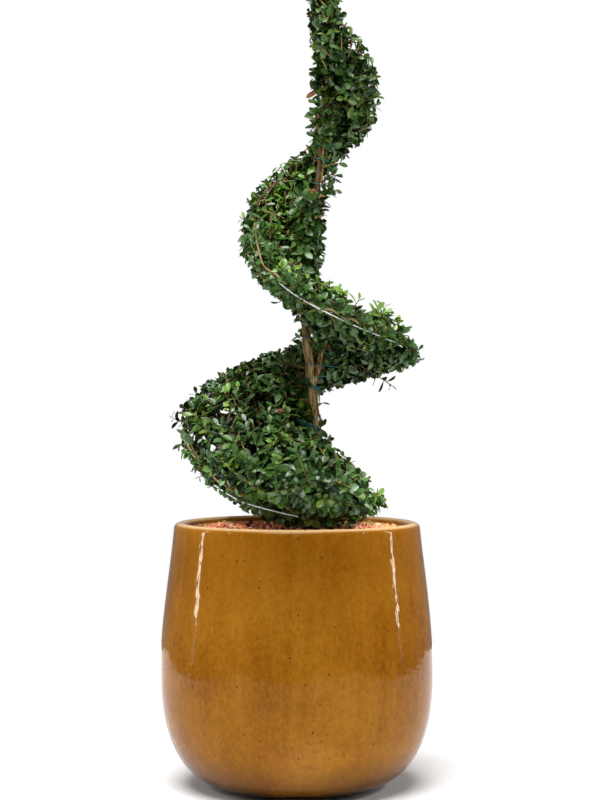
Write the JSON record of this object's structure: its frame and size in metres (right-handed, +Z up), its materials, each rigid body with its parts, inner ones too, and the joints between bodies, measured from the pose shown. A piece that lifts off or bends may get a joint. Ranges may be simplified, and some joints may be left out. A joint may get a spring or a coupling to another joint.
{
  "type": "potted spiral topiary shrub",
  "caption": "Small-leaved evergreen clipped into an open spiral round a leaning trunk, standing in a glazed round-bellied pot filled with soil and bark mulch.",
  "frame": {"origin": "centre of the pot's flat underside", "axes": "+Z up along the pot's axis, -Y towards the front that the picture shows, +X to the right"},
  "size_m": [0.4, 0.4, 1.2258],
  "materials": {
    "glaze": "glossy honey-coloured glaze",
    "soil": "matt, crumbly",
    "mulch": "matt bark chips",
    "bark": "matt bark",
    "leaves": "satin leaves"
  },
  "bodies": {
    "root": {"pot": "glaze", "potting_soil": "soil", "bark_mulch": "mulch", "trunk": "bark", "bough_right": "bark", "foliage_1_right": "leaves", "foliage_1_front": "leaves", "foliage_1_left": "leaves", "foliage_1_back": "leaves", "foliage_2_right": "leaves", "foliage_2_front": "leaves", "foliage_2_left": "leaves", "foliage_2_back": "leaves", "foliage_3_right": "leaves", "foliage_3_front": "leaves", "foliage_tip": "leaves"}
  },
  "joints": []
}
